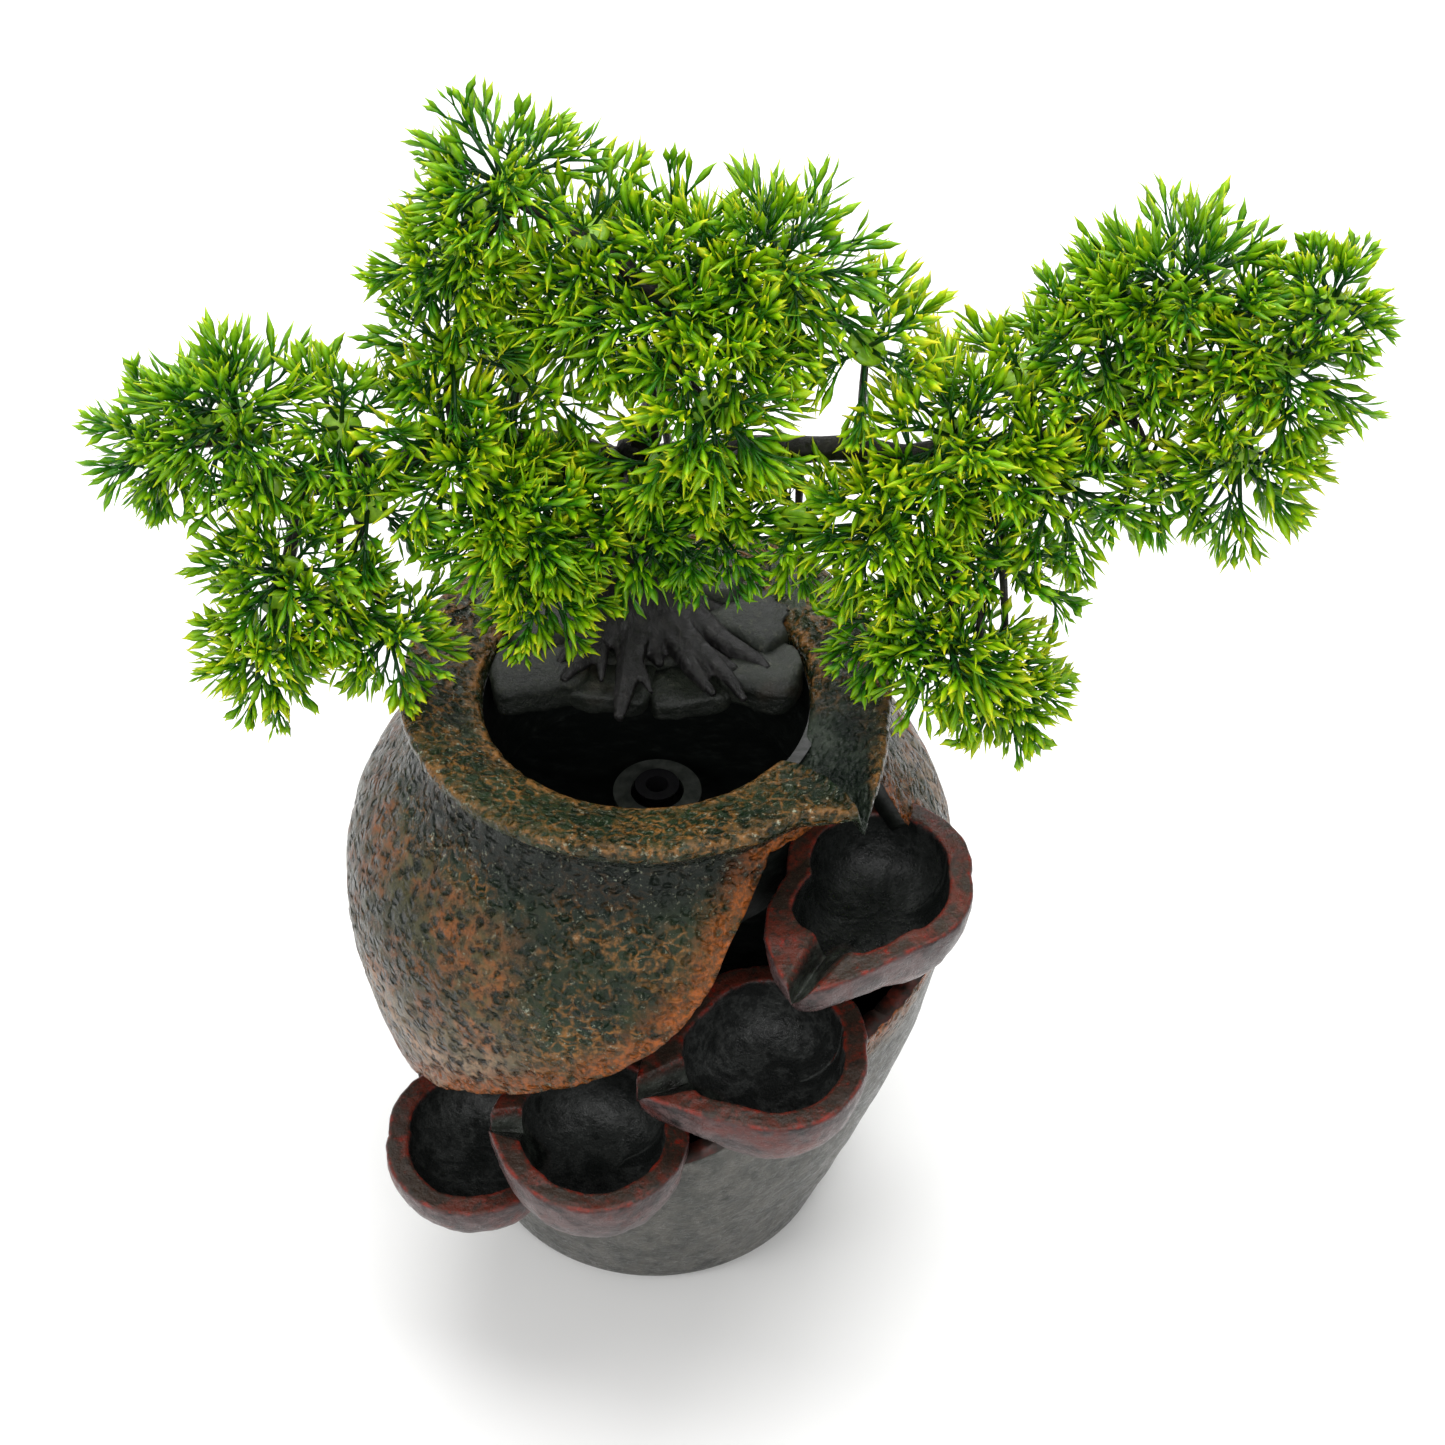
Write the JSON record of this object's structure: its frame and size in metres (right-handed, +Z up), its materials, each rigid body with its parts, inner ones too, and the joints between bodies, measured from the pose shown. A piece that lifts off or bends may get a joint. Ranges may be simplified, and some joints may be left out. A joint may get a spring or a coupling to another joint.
{
  "type": "tabletop water fountain",
  "caption": "Tabletop water fountain: a hammered jar with a pouring lip, bowls cascading down its cut-away side, and an artificial bonsai on top.",
  "frame": {"origin": "centre of the foot, on the surface it stands on", "axes": "+Z up; -Y is the front, the side with the cut-away; +X is to the right seen from the front"},
  "size_m": [0.407, 0.2286, 0.43],
  "materials": {
    "resin_jar": "cast resin, hammered, dark green with copper dry brushing",
    "resin_pool": "cast resin, painted near black",
    "resin_rock": "cast resin, grey-green rock",
    "resin_bowl": "cast resin, mauve-grey streaked with red-brown rims",
    "lens": "frosted translucent plastic",
    "black_plastic": "moulded black plastic",
    "led": "clear lamp domes",
    "tube": "soft clear vinyl",
    "steel": "laminated steel",
    "ceramic_pin": "ground white ceramic",
    "rubber": "soft black rubber",
    "white_plastic": "moulded white plastic",
    "bark": "moulded near-black bark",
    "wire": "wire covered in dark brown plastic",
    "foliage": "soft moulded needles, green to yellow at the tips",
    "hub": "soft lime plastic"
  },
  "bodies": {
    "fountain": {"foot_pad": "rubber", "jar_shell": "resin_jar", "pool_basin": "resin_pool", "rock_ledge": "resin_rock", "splash_board": "resin_pool", "bowl_1": "resin_bowl", "bowl_2": "resin_bowl", "bowl_3": "resin_bowl", "bowl_4": "resin_bowl", "light_ring_body": "black_plastic", "light_ring_lens": "lens", "leds": "led", "water_nozzle": "black_plastic", "supply_tube": "tube", "pump_housing": "black_plastic", "motor_core": "steel", "impeller_shaft": "ceramic_pin", "rear_bush": "rubber", "suction_cups": "rubber", "cable_grommet": "rubber"},
    "pump_cover": {"pump_cover": "black_plastic", "front_bush": "rubber"},
    "flow_dial": {"flow_dial": "black_plastic"},
    "impeller": {"impeller": "white_plastic"},
    "pump_door": {"pump_door": "resin_jar", "door_gasket": "rubber", "door_pull": "resin_jar"},
    "tree": {"tree_peg": "bark", "trunk": "bark", "branch_left": "wire", "branch_right": "wire", "branch_top": "wire", "twigs": "wire", "sprig_hubs": "hub", "foliage_crown": "foliage", "foliage_top_left": "foliage", "foliage_left": "foliage", "foliage_far_left": "foliage", "foliage_low_left": "foliage", "foliage_centre": "foliage", "foliage_right": "foliage", "foliage_low_right": "foliage", "foliage_far_right": "foliage", "foliage_end_right": "foliage"}
  },
  "joints": [
    {"name": "impeller_spin", "type": "hinge", "parent": "fountain", "child": "impeller", "pos_m": [0.003, 0, 0.027], "axis": [0, 1, 0], "continuous": true},
    {"name": "pump_cover_pull", "type": "slide", "parent": "fountain", "child": "pump_cover", "axis": [0, -1, 0], "range_m": [0, 0.02]},
    {"name": "flow_dial_turn", "type": "hinge", "parent": "pump_cover", "child": "flow_dial", "pos_m": [0.003, -0.014, 0.027], "axis": [0, -1, 0], "range_deg": [0, 90]},
    {"name": "pump_door_pull", "type": "slide", "parent": "fountain", "child": "pump_door", "axis": [0, 1, 0], "range_m": [0, 0.04]},
    {"name": "tree_lift", "type": "slide", "parent": "fountain", "child": "tree", "axis": [0, 0, 1], "range_m": [0, 0.06]}
  ]
}
